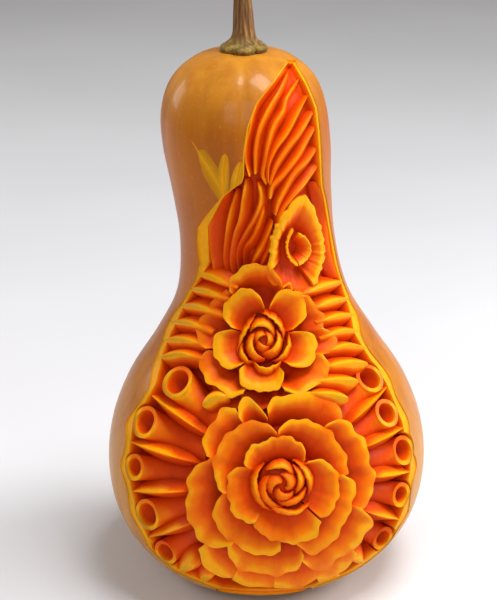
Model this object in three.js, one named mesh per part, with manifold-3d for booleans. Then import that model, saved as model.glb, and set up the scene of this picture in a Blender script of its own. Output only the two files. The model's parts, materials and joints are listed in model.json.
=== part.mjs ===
// A carved butternut squash standing on its blossom end, with its peduncle on top.
// Millimetres, +Z up, origin on the ground under the bulb; the carved side faces -Y.
// Two big roses, a group of leaves, a bud, rolled petals and fronds are cut into the
// front of one fruit, so the fruit and all of its carving are one solid.
import * as THREE from 'three';
import { mergeVertices } from 'three/addons/utils/BufferGeometryUtils.js';
import Module from 'manifold-3d';

const wasm = await Module();
wasm.setup();

// ---- Driving dimensions ----

// Outline of the uncarved fruit as [radius, height], from the rim of the flat it stands on.
const FRUIT_OUTLINE = [
  [25, 0], [37, 0.9], [48, 3.4], [59.5, 9.3], [72.5, 21.5], [83.5, 40], [88, 63],
  [85.8, 88], [76.5, 113], [60, 139], [46.6, 164], [41.6, 193], [42.2, 222], [44.2, 247],
  [43.2, 266], [38, 281], [27.5, 291], [14, 295.6], [0, 294.4],
];
// The neck leans a little to the left: [sideways shift, height].
const FRUIT_AXIS = [[-5, 0], [-1.5, 14], [0, 34], [0, 140], [-4, 190], [-9.2, 236], [-11.6, 264], [-11.6, 300]];
const FRUIT_SIDES = 32;
const FRUIT_RINGS = 27;

// The carving is laid out on a plane that leans back, as [sideways, up the slope].
const LAYOUT_LEAN = THREE.MathUtils.degToRad(21);

// Edge of the carved hollow as [up the slope, left, right, depth of its floor].
const HOLLOW_EDGE = [
  [-8, -22, 20, 9], [8, -58, 58, 12], [30, -71, 77, 13], [56, -79, 83, 13], [84, -75, 77, 13],
  [106, -64, 66, 13], [122, -54, 54, 12], [138, -47, 47, 11], [156, -40, 40, 9],
  [176, -32, 36, 7], [200, -23, 31, 6], [222, -12, 28, 5], [244, -4, 26, 5], [258, 5, 19, 4],
  [270, 11, 14, 4],
];
const HOLLOW_STEPS = { across: 7, along: 15 };
const CUT_ABOVE_SKIN = 5;
const ROOT_DEPTH = 15;

// Roses: centre in the layout, a bud, and rings of petals as [start angle, end angle, reach]
// in degrees and millimetres; depths are below the skin at the petals' lips.
const LARGE_ROSE = {
  centre: [8.4, 50.5],
  bud: { radius: 16.5, depth: 5 },
  rings: [
    { depth: 5, petals: [[50, 150, 27], [-39, 44, 31], [-124, -43, 33], [149, 233, 30]] },
    { depth: 4, petals: [[94, 187, 40], [10, 94, 39], [-75, 10, 43], [-172, -92, 42]] },
    {
      depth: 2.5,
      petals: [
        [103, 158, 51], [48, 101, 51], [-17, 54, 50], [-76, -18, 55], [-131, -75, 51], [160, 229, 53],
      ],
    },
  ],
};
const SMALL_ROSE = {
  centre: [-1.5, 127],
  bud: { radius: 9.5, depth: 5 },
  rings: [
    { depth: 4, petals: [[10, 95, 13], [-64, 18, 16], [-127, -50, 17], [115, 230, 15]] },
    {
      depth: 2,
      petals: [[86, 160, 28], [19, 79, 29], [-41, 13, 29], [-131, -58, 26], [161, 227, 27]],
    },
    {
      depth: 2.5,
      petals: [[65, 127, 38], [10, 47, 36], [-53, 11, 39], [-113, -66, 33], [189, 247, 37], [129, 188, 37]],
    },
  ],
};
const PETAL = { rootShare: 0.45, thickness: 2.6, steps: { turn: 4, rise: 1 } };

// Leaf blades as [tip, root] in the layout, each a ridge that falls away to one side.
const LEAF_BLADES = [
  [[12, 266], [-10, 210]], [[14, 262], [-1, 206]], [[21, 251], [1, 206]], [[24, 248], [2, 204]],
  [[25, 238], [3, 198]], [[24, 226], [5, 190]], [[22, 216], [7, 184]], [[-11, 205], [-23, 170]],
  [[-5, 203], [-18, 166]], [[-2, 190], [-13, 166]], [[3, 182], [-9, 168]], [[-22, 198], [-31, 168]],
];
const BLADE = { width: 7, ridgeDepth: 1.5, valleyDepth: 6, steps: 3 };

// The closed bud beside the leaves: two outer petals, as [tip, middle, root] lines.
const BUD_PETALS = [
  [[21, 200], [11, 184], [7, 162]],
  [[22, 200], [30, 182], [27, 158]],
];
const BUD_PETAL = { width: 8, ridgeDepth: 2, valleyDepth: 7, steps: 3 };

// Rolled petals around the big rose: [sideways, up the slope, mouth radius].
const ROLLED_PETALS = [
  [-47, 105, 7.6], [-63, 83, 7], [-68, 59, 5.6], [-61, 33, 7], [-52, 10, 6],
  [54, 106, 7.2], [62, 88, 6.5], [71, 67, 6.5], [70, 41, 5.5], [61, 17, 5.5],
];
const ROLL = { wall: 1.6, length: 25, rootShare: 0.4, sides: 9, lipDepth: 1.2, cupShare: 0.55 };

// Fronds beside the small rose, as [tip, root] ridges.
const FRONDS = [
  [[-42, 160], [-24, 150]], [[-45, 152], [-24, 145]], [[-50, 141], [-28, 138]], [[-54, 133], [-32, 130]],
  [[40, 158], [24, 148]], [[46, 147], [26, 142]], [[48, 137], [30, 134]], [[-34, 0], [-20, 10]],
  [[34, 0], [18, 8]],
];
const FROND = { width: 6, ridgeDepth: 2, valleyDepth: 7, steps: 2 };

// The peduncle: a five-lobed collar on the crown and a ridged stalk, cut off square.
const STEM_OUTLINE = [
  [13.2, 1], [14, 3.4], [12.2, 6.4], [8.6, 9.4], [6.4, 14], [5.7, 24], [5, 36], [5.6, 44], [5.6, 45.5], [0, 45.5],
];
const STEM_UNDERSIDE_RADII = [4.5, 9, 13];
const STEM_LEAN = -0.04;
const STEM_LOBES = { count: 5, depth: 0.13, fade: 16 };
const STEM_SIDES = 25;
const CLEARANCE = 0.3;

// ---- The fruit's skin ----

function curvePoints(pairs, count) {
  const curve = new THREE.CatmullRomCurve3(pairs.map(([a, b]) => new THREE.Vector3(a, b, 0)));
  return curve.getPoints(count).map((point) => new THREE.Vector2(Math.max(point.x, 0), point.y));
}

function lookUp(rows, key, column) {
  const last = rows.length - 2;
  const found = rows.findIndex((row, i) => i <= last && key <= rows[i + 1][0]);
  const i = found < 0 ? last : found;
  const share = (key - rows[i][0]) / (rows[i + 1][0] - rows[i][0]);
  return THREE.MathUtils.lerp(rows[i][column], rows[i + 1][column], THREE.MathUtils.clamp(share, 0, 1));
}

const outline = curvePoints(FRUIT_OUTLINE, FRUIT_RINGS);
const FRUIT_TOP = Math.max(...outline.map((point) => point.y));
const crownStart = outline.findIndex((point) => point.y === FRUIT_TOP);
const SIDE_ROWS = outline.slice(0, crownStart + 1).map((point) => [point.y, point.x]);
const AXIS_ROWS = FRUIT_AXIS.map(([shift, height]) => [height, shift]);

const fruitRadius = (height) => lookUp(SIDE_ROWS, height, 1);
const axisShift = (height) => lookUp(AXIS_ROWS, height, 1);

// How far a point is inside the skin, measured level; negative outside.
function depthInside(point) {
  if (point.z < 0 || point.z > FRUIT_TOP) return -1;
  return fruitRadius(point.z) - Math.hypot(point.x - axisShift(point.z), point.y);
}

function skinNormal(point) {
  const step = 0.5;
  const slope = new THREE.Vector3();
  for (const axis of ['x', 'y', 'z']) {
    const ahead = point.clone();
    const behind = point.clone();
    ahead[axis] += step;
    behind[axis] -= step;
    slope[axis] = depthInside(behind) - depthInside(ahead);
  }
  return slope.normalize();
}

const SLOPE_UP = new THREE.Vector3(0, Math.sin(LAYOUT_LEAN), Math.cos(LAYOUT_LEAN));
const SLOPE_OUT = new THREE.Vector3(0, -Math.cos(LAYOUT_LEAN), Math.sin(LAYOUT_LEAN));
const SEARCH = { from: 150, to: -60, step: 3, halvings: 12 };

// The point that lies `depth` under the skin at a place in the layout.
function underSkin(across, up, depth) {
  const start = new THREE.Vector3(across, 0, 0).addScaledVector(SLOPE_UP, up);
  const at = (distance) => start.clone().addScaledVector(SLOPE_OUT, distance);
  let outside = SEARCH.from;
  while (outside > SEARCH.to && depthInside(at(outside)) < 0) outside -= SEARCH.step;
  let [inside, clear] = [outside, outside + SEARCH.step];
  for (let i = 0; i < SEARCH.halvings; i += 1) {
    const middle = (inside + clear) / 2;
    if (depthInside(at(middle)) < 0) clear = middle;
    else inside = middle;
  }
  const skin = at(inside);
  return skin.addScaledVector(skinNormal(skin), -depth);
}

// ---- Closed solids from three.js geometry ----

function mapVertices(geometry, place) {
  const position = geometry.attributes.position;
  for (let i = 0; i < position.count; i += 1) {
    const point = place(position.getX(i), position.getY(i), position.getZ(i));
    position.setXYZ(i, point.x, point.y, point.z);
  }
  return geometry;
}

function merged(geometry) {
  geometry.deleteAttribute('normal');
  geometry.deleteAttribute('uv');
  return mergeVertices(geometry, 1e-3);
}

function toSolid(geometry) {
  const welded = merged(geometry);
  const solid = new wasm.Manifold(new wasm.Mesh({
    numProp: 3,
    vertProperties: new Float32Array(welded.attributes.position.array),
    triVerts: new Uint32Array(welded.index.array),
  }));
  return solid;
}

function toGeometry(solid) {
  const mesh = solid.getMesh();
  const geometry = new THREE.BufferGeometry();
  geometry.setAttribute('position', new THREE.BufferAttribute(mesh.vertProperties, 3));
  geometry.setIndex(new THREE.BufferAttribute(mesh.triVerts, 1));
  geometry.computeVertexNormals();
  return geometry;
}

// A block bent into shape: `place` takes shares from 0 to 1 across, along and down.
function bentBlock(across, along, place) {
  const block = new THREE.BoxGeometry(1, 1, 1, across, along, 1);
  return toSolid(mapVertices(block, (x, y, z) => place(x + 0.5, y + 0.5, 0.5 - z)));
}

// ---- The uncarved fruit and the hollow cut into it ----

function fruit() {
  const profile = [new THREE.Vector2(0, 0), ...outline];
  const lathe = new THREE.LatheGeometry(profile, FRUIT_SIDES).rotateX(Math.PI / 2);
  return toSolid(mapVertices(lathe, (x, y, z) => new THREE.Vector3(x + axisShift(z), y, z)));
}

function hollow() {
  const bottom = HOLLOW_EDGE[0][0];
  const top = HOLLOW_EDGE[HOLLOW_EDGE.length - 1][0];
  return bentBlock(HOLLOW_STEPS.across, HOLLOW_STEPS.along, (across, along, down) => {
    const up = THREE.MathUtils.lerp(bottom, top, along);
    const [left, right, floor] = [1, 2, 3].map((column) => lookUp(HOLLOW_EDGE, up, column));
    const depth = THREE.MathUtils.lerp(-CUT_ABOVE_SKIN, floor, down);
    return underSkin(THREE.MathUtils.lerp(left, right, across), up, depth);
  });
}

// ---- Carved ornament ----

// A petal rises from its root under the ring inside it to a round-ended lip near the skin.
function petal([centreAcross, centreUp], lipDepth, [start, end, reach]) {
  return bentBlock(PETAL.steps.turn, PETAL.steps.rise, (turn, fall, down) => {
    const rise = 1 - fall;
    const angle = THREE.MathUtils.degToRad(THREE.MathUtils.lerp(start, end, turn));
    const roundEnd = 1 - 0.22 * Math.abs(2 * turn - 1) ** 4;
    const radius = reach * roundEnd * THREE.MathUtils.lerp(PETAL.rootShare, 1, rise);
    const depth = THREE.MathUtils.lerp(ROOT_DEPTH, lipDepth, rise) + down * PETAL.thickness;
    return underSkin(centreAcross + radius * Math.cos(angle), centreUp + radius * Math.sin(angle), depth);
  });
}

function roseBud([centreAcross, centreUp], { radius, depth }) {
  const dome = new THREE.SphereGeometry(radius, 12, 8);
  const middle = underSkin(centreAcross, centreUp, depth + radius);
  return toSolid(dome.translate(middle.x, middle.y, middle.z));
}

function rose({ centre, bud, rings }) {
  const petals = rings.flatMap((ring) => ring.petals.map((shape) => petal(centre, ring.depth, shape)));
  return [roseBud(centre, bud), ...petals];
}

// A sharp ridge along a line of layout points, falling away on both sides.
function ridge(line, { width, ridgeDepth, valleyDepth, steps }) {
  const path = new THREE.CatmullRomCurve3(line.map(([across, up]) => new THREE.Vector3(across, up, 0)));
  return bentBlock(2, steps, (side, along, down) => {
    const point = path.getPoint(along);
    const direction = path.getTangent(along);
    const offset = (side - 0.5) * width * (1 - 0.7 * Math.abs(2 * along - 1) ** 3);
    const slope = Math.abs(2 * side - 1) * (valleyDepth - ridgeDepth);
    const depth = THREE.MathUtils.lerp(ridgeDepth + slope, ROOT_DEPTH, down);
    return underSkin(point.x + direction.y * offset, point.y - direction.x * offset, depth);
  });
}

// A rolled petal: a hollow horn that opens at the skin and leans in under the big rose.
function rolledPetal([across, up, mouthRadius]) {
  const [roseAcross, roseUp] = LARGE_ROSE.centre;
  const inward = new THREE.Vector2(roseAcross - across, roseUp - up).setLength(ROLL.length * 0.7);
  const mouth = underSkin(across, up, ROLL.lipDepth);
  const root = underSkin(across + inward.x, up + inward.y, ROOT_DEPTH + 2);
  const rootRadius = mouthRadius * ROLL.rootShare;
  const length = mouth.distanceTo(root);
  const cupDepth = length * ROLL.cupShare;
  const section = [
    [0, 0], [rootRadius, 0], [mouthRadius, length], [mouthRadius - ROLL.wall, length],
    [rootRadius * 0.8, length - cupDepth], [0, length - cupDepth],
  ].map(([radius, height]) => new THREE.Vector2(radius, height));
  const horn = new THREE.LatheGeometry(section, ROLL.sides);
  const lean = new THREE.Quaternion().setFromUnitVectors(
    new THREE.Vector3(0, 1, 0),
    mouth.clone().sub(root).normalize(),
  );
  return toSolid(horn.applyQuaternion(lean).translate(root.x, root.y, root.z));
}

function largestPart(solid) {
  return solid.decompose().sort((a, b) => b.volume() - a.volume())[0];
}

function carvedFruit() {
  const whole = fruit();
  const ornament = [
    ...rose(LARGE_ROSE),
    ...rose(SMALL_ROSE),
    ...LEAF_BLADES.map((line) => ridge(line, BLADE)),
    ...BUD_PETALS.map((line) => ridge(line, BUD_PETAL)),
    ...FRONDS.map((line) => ridge(line, FROND)),
    ...ROLLED_PETALS.map(rolledPetal),
  ].reduce((joined, piece) => joined.add(piece));
  return largestPart(whole.subtract(hollow()).add(ornament.intersect(whole)));
}

// ---- The stem ----

function stem() {
  const crown = outline.slice(crownStart).reverse().map((point) => [point.x, point.y]);
  const underside = [0, ...STEM_UNDERSIDE_RADII].map((radius) => [radius, lookUp(crown, radius, 1) + CLEARANCE]);
  const above = STEM_OUTLINE.map(([radius, height]) => [radius, FRUIT_TOP + CLEARANCE + height]);
  const profile = [...underside, ...above].map(([radius, height]) => new THREE.Vector2(radius, height));
  const lathe = new THREE.LatheGeometry(profile, STEM_SIDES).rotateX(Math.PI / 2);
  const shaped = mapVertices(lathe, (x, y, z) => {
    const height = z - FRUIT_TOP;
    const fade = Math.exp(-Math.max(height, 0) / STEM_LOBES.fade);
    const lobe = 1 - STEM_LOBES.depth * fade * (0.5 - 0.5 * Math.cos(STEM_LOBES.count * Math.atan2(y, x)));
    const lean = STEM_LEAN * Math.max(height, 0);
    return new THREE.Vector3(x * lobe + lean + axisShift(FRUIT_TOP), y * lobe, z);
  });
  const welded = merged(shaped);
  welded.computeVertexNormals();
  return welded;
}

// ---- The object ----

function named(name, geometry, color, roughness) {
  const mesh = new THREE.Mesh(geometry, new THREE.MeshStandardMaterial({ color, roughness, metalness: 0 }));
  mesh.name = name;
  return mesh;
}

const object = new THREE.Group();
object.add(named('squash_body', toGeometry(carvedFruit()), 0xe07a12, 0.4));
object.add(named('stem', stem(), 0x8a6a30, 0.7));

export default object;
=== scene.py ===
"""A butternut squash carved with roses, leaves, a bud and rolled petals, with its stem.

The fruit's skin is one smooth surface, and every carved piece is laid out on a plane that leans
back against the front of the fruit, then sunk under the skin by its own depth. The pieces are
joined and cut as closed solids, so the finished fruit is one mesh, as the real one is.
Sizes are in millimetres and degrees; `MM` turns them into metres when a mesh is made.
"""

import json
import logging
import math
from dataclasses import dataclass
from enum import Enum
from typing import Callable, Iterable, Sequence

import bmesh
import bpy
import numpy as np
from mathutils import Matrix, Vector

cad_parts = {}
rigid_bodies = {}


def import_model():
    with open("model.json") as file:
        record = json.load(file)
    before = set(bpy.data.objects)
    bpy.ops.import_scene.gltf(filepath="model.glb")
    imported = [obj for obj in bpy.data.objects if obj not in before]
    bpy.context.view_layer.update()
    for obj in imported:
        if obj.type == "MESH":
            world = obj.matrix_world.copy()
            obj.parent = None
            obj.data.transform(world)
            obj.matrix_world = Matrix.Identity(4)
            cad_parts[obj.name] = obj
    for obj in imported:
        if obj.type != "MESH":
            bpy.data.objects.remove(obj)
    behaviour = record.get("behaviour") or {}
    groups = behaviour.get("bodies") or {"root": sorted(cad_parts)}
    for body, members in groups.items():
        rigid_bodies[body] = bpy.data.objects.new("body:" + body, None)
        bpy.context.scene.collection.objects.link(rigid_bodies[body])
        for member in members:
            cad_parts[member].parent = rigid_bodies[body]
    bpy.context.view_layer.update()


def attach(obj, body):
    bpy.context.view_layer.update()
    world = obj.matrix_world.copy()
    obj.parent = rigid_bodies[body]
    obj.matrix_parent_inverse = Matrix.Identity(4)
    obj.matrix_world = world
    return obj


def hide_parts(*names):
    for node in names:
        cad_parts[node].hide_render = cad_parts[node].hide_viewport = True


LOG = logging.getLogger("carved_squash")
MM = 0.001

Pairs = tuple[tuple[float, float], ...]
Place = Callable[[np.ndarray, np.ndarray, np.ndarray], np.ndarray]


# ---- Curves and closed solids ----


def smooth_curve(points: Sequence[Sequence[float]], count: int) -> np.ndarray:
    """Run a centripetal Catmull-Rom curve through some points.

    Args:
        points: The points, each of two numbers.
        count: How many samples to take, spread evenly from point to point.

    Returns:
        The samples, one row each.
    """
    control = np.asarray(points, float)
    padded = np.vstack([2 * control[0] - control[1], control, 2 * control[-1] - control[-2]])
    where = np.linspace(0, len(control) - 1, count)
    start = np.minimum(where.astype(int), len(control) - 2)
    share = (where - start)[:, None]
    before, here, ahead, after = (padded[start + k] for k in range(4))

    def gap(a: np.ndarray, b: np.ndarray) -> np.ndarray:
        """Return the centripetal spacing of two rows of points."""
        return np.maximum(np.sum((a - b) ** 2, axis=1) ** 0.25, 1e-4)[:, None]

    first, middle, last = gap(here, before), gap(ahead, here), gap(after, ahead)
    leave = (here - before) / first - (ahead - before) / (first + middle)
    leave = (leave + (ahead - here) / middle) * middle
    arrive = (ahead - here) / middle - (after - here) / (middle + last)
    arrive = (arrive + (after - ahead) / last) * middle
    bend = -3 * here + 3 * ahead - 2 * leave - arrive
    twist = 2 * here - 2 * ahead + leave + arrive
    return here + leave * share + bend * share**2 + twist * share**3


def beside(line: Pairs, along: np.ndarray, offset: np.ndarray) -> tuple[np.ndarray, np.ndarray]:
    """Find places beside a smooth line.

    Args:
        line: The points that the line runs through.
        along: How far along it each place is, from 0 to 1.
        offset: How far to its right each place is, going along it.

    Returns:
        How far across and how far up the places are.
    """
    path = smooth_curve(line, 120)
    direction = np.gradient(path, axis=0)
    direction /= np.linalg.norm(direction, axis=1, keepdims=True)
    shares = np.linspace(0, 1, len(path))
    x, y, go_x, go_y = (np.interp(along, shares, column) for column in (*path.T, *direction.T))
    return x + go_y * offset, y - go_x * offset


def disc(x: np.ndarray, y: np.ndarray) -> tuple[np.ndarray, np.ndarray]:
    """Round shares of a square, each from 0 to 1, into a disc of radius 1."""
    x, y = 2 * x - 1, 2 * y - 1
    return x * np.sqrt(1 - y**2 / 2), y * np.sqrt(1 - x**2 / 2)


def deselect_all() -> None:
    """Leave nothing selected, so that an operator acts only on what is picked next."""
    for thing in bpy.context.view_layer.objects:
        thing.select_set(False)


def pick(piece: bpy.types.Object) -> None:
    """Make one object the only selected and active one."""
    deselect_all()
    piece.select_set(True)
    bpy.context.view_layer.objects.active = piece


def points_of(piece: bpy.types.Object) -> np.ndarray:
    """Return a mesh's vertices in the unit they are stored in, one row each."""
    flat = np.empty(len(piece.data.vertices) * 3)
    piece.data.vertices.foreach_get("co", flat)
    return flat.reshape(-1, 3)


def set_points(piece: bpy.types.Object, points: np.ndarray) -> None:
    """Move a mesh's vertices to new places, and turn it right side out.

    Args:
        piece: The object whose mesh is changed.
        points: The new places, one row for each vertex.
    """
    piece.data.vertices.foreach_set("co", points.ravel())
    shell = bmesh.new()
    shell.from_mesh(piece.data)
    if shell.calc_volume(signed=True) < 0:
        bmesh.ops.reverse_faces(shell, faces=shell.faces)
    shell.to_mesh(piece.data)
    shell.free()
    piece.data.update()


def bent_block(name: str, across: int, along: int, place: Place, down: int = 1) -> bpy.types.Object:
    """Bend a block, divided into cells, into a carved shape.

    Args:
        name: The object's name.
        across: Cells across.
        along: Cells along.
        place: Gives the points, in millimetres, for shares from 0 to 1 across, along and down.
        down: Cells down.

    Returns:
        The bent block, closed and of flesh all over.
    """
    deselect_all()
    bpy.ops.mesh.primitive_grid_add(
        x_subdivisions=across, y_subdivisions=along, size=1, location=(0.5, 0.5, 0)
    )
    block = bpy.context.active_object
    block.name = name
    bpy.ops.object.transform_apply(location=True, rotation=True, scale=True)
    bpy.ops.object.mode_set(mode="EDIT")
    bpy.ops.mesh.select_all(action="SELECT")
    for _ in range(down):
        bpy.ops.mesh.extrude_region_move(TRANSFORM_OT_translate={"value": (0, 0, -1 / down)})
    bpy.ops.mesh.select_all(action="SELECT")
    bpy.ops.mesh.normals_make_consistent(inside=False)
    bpy.ops.object.mode_set(mode="OBJECT")
    corner = points_of(block)
    set_points(block, place(corner[:, 0], corner[:, 1], -corner[:, 2]) * MM)
    dress(block, Face.FLESH)
    return block


def turned(name: str, profile: np.ndarray, sides: int) -> bpy.types.Object:
    """Spin a profile about the Z axis into a closed solid.

    Args:
        name: The object's name.
        profile: Radius and height of each point in millimetres, starting and ending on the axis.
        sides: How many steps the spin has.

    Returns:
        The solid of revolution.
    """
    mesh = bpy.data.meshes.new(name)
    points = [(radius * MM, 0, height * MM) for radius, height in profile]
    mesh.from_pydata(points, [(i, i + 1) for i in range(len(points) - 1)], [])
    piece = bpy.data.objects.new(name, mesh)
    bpy.context.collection.objects.link(piece)
    pick(piece)
    bpy.ops.object.mode_set(mode="EDIT")
    bpy.ops.mesh.select_all(action="SELECT")
    bpy.ops.mesh.spin(steps=sides, angle=math.tau, center=(0, 0, 0), axis=(0, 0, 1))
    bpy.ops.mesh.select_all(action="SELECT")
    bpy.ops.mesh.remove_doubles(threshold=1e-6)
    bpy.ops.mesh.normals_make_consistent(inside=False)
    bpy.ops.object.mode_set(mode="OBJECT")
    return piece


class Cut(Enum):
    """How one solid changes another."""

    JOIN = "UNION"
    REMOVE = "DIFFERENCE"
    KEEP_INSIDE = "INTERSECT"


def combine(base: bpy.types.Object, tools: Iterable[bpy.types.Object], cut: Cut) -> bpy.types.Object:
    """Join solids to a base, or cut them out of it, and delete them.

    Args:
        base: The solid that is changed.
        tools: The solids that change it.
        cut: What each one does.

    Returns:
        The base.
    """
    for tool in tools:
        pick(base)
        change = base.modifiers.new("change", "BOOLEAN")
        change.operation = cut.value
        change.solver = "MANIFOLD"
        change.object = tool
        bpy.ops.object.modifier_apply(modifier=change.name)
        bpy.data.objects.remove(tool)
    if not base.data.polygons:
        raise RuntimeError(f"{base.name} is empty after {cut.name}")
    return base


class Face(Enum):
    """Which finish a face of the fruit has, by its material slot."""

    SKIN = 0
    FLESH = 1


def dress(piece: bpy.types.Object, face: Face) -> None:
    """Give a part of the fruit both of its finishes, and all its faces one of them.

    Args:
        piece: The mesh object.
        face: The finish of all its faces.
    """
    piece.data.materials.clear()
    for finish in (SKIN.material(), FLESH.material()):
        piece.data.materials.append(finish)
    piece.data.polygons.foreach_set("material_index", [face.value] * len(piece.data.polygons))


# ---- Finishes ----


def linear(red: int, green: int, blue: int) -> tuple[float, float, float, float]:
    """Turn a screen colour from 0 to 255 into a linear one with full alpha."""
    shares = (channel / 255 for channel in (red, green, blue))
    steps = [s / 12.92 if s <= 0.04045 else ((s + 0.055) / 1.055) ** 2.4 for s in shares]
    return (*steps, 1.0)


@dataclass(frozen=True)
class Finish:
    """A surface with a shader of its own, built once.

    Attributes:
        name: The material's name.
        roughness: The shader's roughness.
    """

    name: str
    roughness: float

    def material(self) -> bpy.types.Material:
        """Return the material, and build it the first time."""
        found = bpy.data.materials.get(self.name)
        if found:
            return found
        made = bpy.data.materials.new(self.name)
        made.use_nodes = True
        shader = made.node_tree.nodes["Principled BSDF"]
        shader.inputs["Roughness"].default_value = self.roughness
        self.paint(made.node_tree, shader)
        return made

    def paint(self, tree: bpy.types.NodeTree, shader: bpy.types.Node) -> None:
        """Add the finish's own colour, gloss and relief to the shader."""
        raise NotImplementedError


def add_node(tree: bpy.types.NodeTree, kind: str, **settings: object) -> bpy.types.Node:
    """Add a shader node.

    Args:
        tree: The material's nodes.
        kind: The node's type.
        settings: Values for the node's inputs, by name with spaces written as underscores.

    Returns:
        The node.
    """
    node = tree.nodes.new(kind)
    for name, value in settings.items():
        node.inputs[name.replace("_", " ")].default_value = value
    return node


def pattern(
    tree: bpy.types.NodeTree, scale: tuple[float, float, float], detail: float
) -> bpy.types.NodeSocket:
    """Add a noise that is fixed to the object.

    Args:
        tree: The material's nodes.
        scale: How many times the noise repeats in a metre along X, Y and Z.
        detail: How much fine noise is on top.

    Returns:
        The noise's value.
    """
    place = tree.nodes.new("ShaderNodeTexCoord")
    stretch = tree.nodes.new("ShaderNodeMapping")
    stretch.inputs["Scale"].default_value = scale
    noise = add_node(tree, "ShaderNodeTexNoise", Scale=1.0, Detail=detail, Roughness=0.55)
    tree.links.new(place.outputs["Object"], stretch.inputs["Vector"])
    tree.links.new(stretch.outputs["Vector"], noise.inputs["Vector"])
    return noise.outputs["Fac"]


def ramp(
    tree: bpy.types.NodeTree, value: bpy.types.NodeSocket, stops: Sequence[tuple[float, tuple]]
) -> bpy.types.NodeSocket:
    """Turn a value into a colour.

    Args:
        tree: The material's nodes.
        value: The value, from 0 to 1.
        stops: Where each screen colour sits, from low to high.

    Returns:
        The colour.
    """
    node = tree.nodes.new("ShaderNodeValToRGB")
    elements = node.color_ramp.elements
    while len(elements) < len(stops):
        elements.new(0.5)
    for element, (position, colour) in zip(elements, stops):
        element.position = position
        element.color = linear(*colour)
    tree.links.new(value, node.inputs["Fac"])
    return node.outputs["Color"]


def blend(
    tree: bpy.types.NodeTree,
    mode: str,
    amount: bpy.types.NodeSocket | float,
    below: bpy.types.NodeSocket,
    above: bpy.types.NodeSocket | tuple,
) -> bpy.types.NodeSocket:
    """Lay one colour over another.

    Args:
        tree: The material's nodes.
        mode: The blend type.
        amount: How much of the upper colour shows.
        below: The lower colour.
        above: The upper colour.

    Returns:
        The mixed colour.
    """
    node = tree.nodes.new("ShaderNodeMix")
    node.data_type = "RGBA"
    node.blend_type = mode
    sockets = {"Factor": node.inputs[0], "A": node.inputs[6], "B": node.inputs[7]}
    for name, value in (("Factor", amount), ("A", below), ("B", above)):
        if isinstance(value, bpy.types.NodeSocket):
            tree.links.new(value, sockets[name])
        else:
            sockets[name].default_value = value
    return node.outputs[2]


def roughen(
    tree: bpy.types.NodeTree, shader: bpy.types.Node, height: bpy.types.NodeSocket, strength: float, depth: float
) -> None:
    """Give a shader a fine relief.

    Args:
        tree: The material's nodes.
        shader: The shader.
        height: The relief's pattern.
        strength: How strongly it shows.
        depth: How deep it is, in millimetres.
    """
    bump = add_node(tree, "ShaderNodeBump", Strength=strength, Distance=depth * MM)
    tree.links.new(height, bump.inputs["Height"])
    tree.links.new(bump.outputs["Normal"], shader.inputs["Normal"])


@dataclass(frozen=True)
class WaxySkin(Finish):
    """Tan-orange squash skin, with faint streaks along the fruit and a waxy shine."""

    coat: float = 0.3
    tall: float = 0.295

    def paint(self, tree: bpy.types.NodeTree, shader: bpy.types.Node) -> None:
        """Paint broad patches, streaks along the fruit and fine pale flecks."""
        patches = ramp(
            tree,
            pattern(tree, (9, 9, 6), 2),
            [(0.3, (176, 92, 6)), (0.52, (190, 108, 10)), (0.75, (208, 132, 26))],
        )
        streaks = ramp(
            tree, pattern(tree, (95, 95, 7), 3), [(0.35, (176, 98, 30)), (0.62, (255, 255, 255))]
        )
        place = tree.nodes.new("ShaderNodeTexCoord")
        axes = tree.nodes.new("ShaderNodeSeparateXYZ")
        height = add_node(tree, "ShaderNodeMapRange", From_Max=self.tall)
        tree.links.new(place.outputs["Object"], axes.inputs["Vector"])
        tree.links.new(axes.outputs["Z"], height.inputs["Value"])
        tan_share = ramp(
            tree,
            height.outputs["Result"],
            [(0.22, (231, 231, 231)), (0.52, (0, 0, 0)), (0.88, (0, 0, 0)), (0.98, (203, 203, 203))],
        )
        patches = blend(tree, "MIX", tan_share, patches, linear(208, 146, 46))
        flecks = ramp(
            tree, pattern(tree, (620, 620, 420), 1), [(0.62, (0, 0, 0)), (0.74, (255, 255, 255))]
        )
        streaked = blend(tree, "MULTIPLY", 0.3, patches, streaks)
        pale = blend(tree, "MIX", flecks, streaked, linear(232, 184, 96))
        colour = blend(tree, "MIX", 0.12, streaked, pale)
        tree.links.new(colour, shader.inputs["Base Color"])
        shader.inputs["Coat Weight"].default_value = self.coat
        shader.inputs["Coat Roughness"].default_value = 0.12
        shader.inputs["Coat IOR"].default_value = 1.4
        shader.inputs["Specular IOR Level"].default_value = 0.12
        shader.inputs["Subsurface Weight"].default_value = 0.06
        shader.inputs["Subsurface Radius"].default_value = (1.0, 0.45, 0.12)
        shader.inputs["Subsurface Scale"].default_value = 2.5 * MM
        roughen(tree, shader, pattern(tree, (260, 260, 90), 4), 0.25, 0.25)


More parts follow.
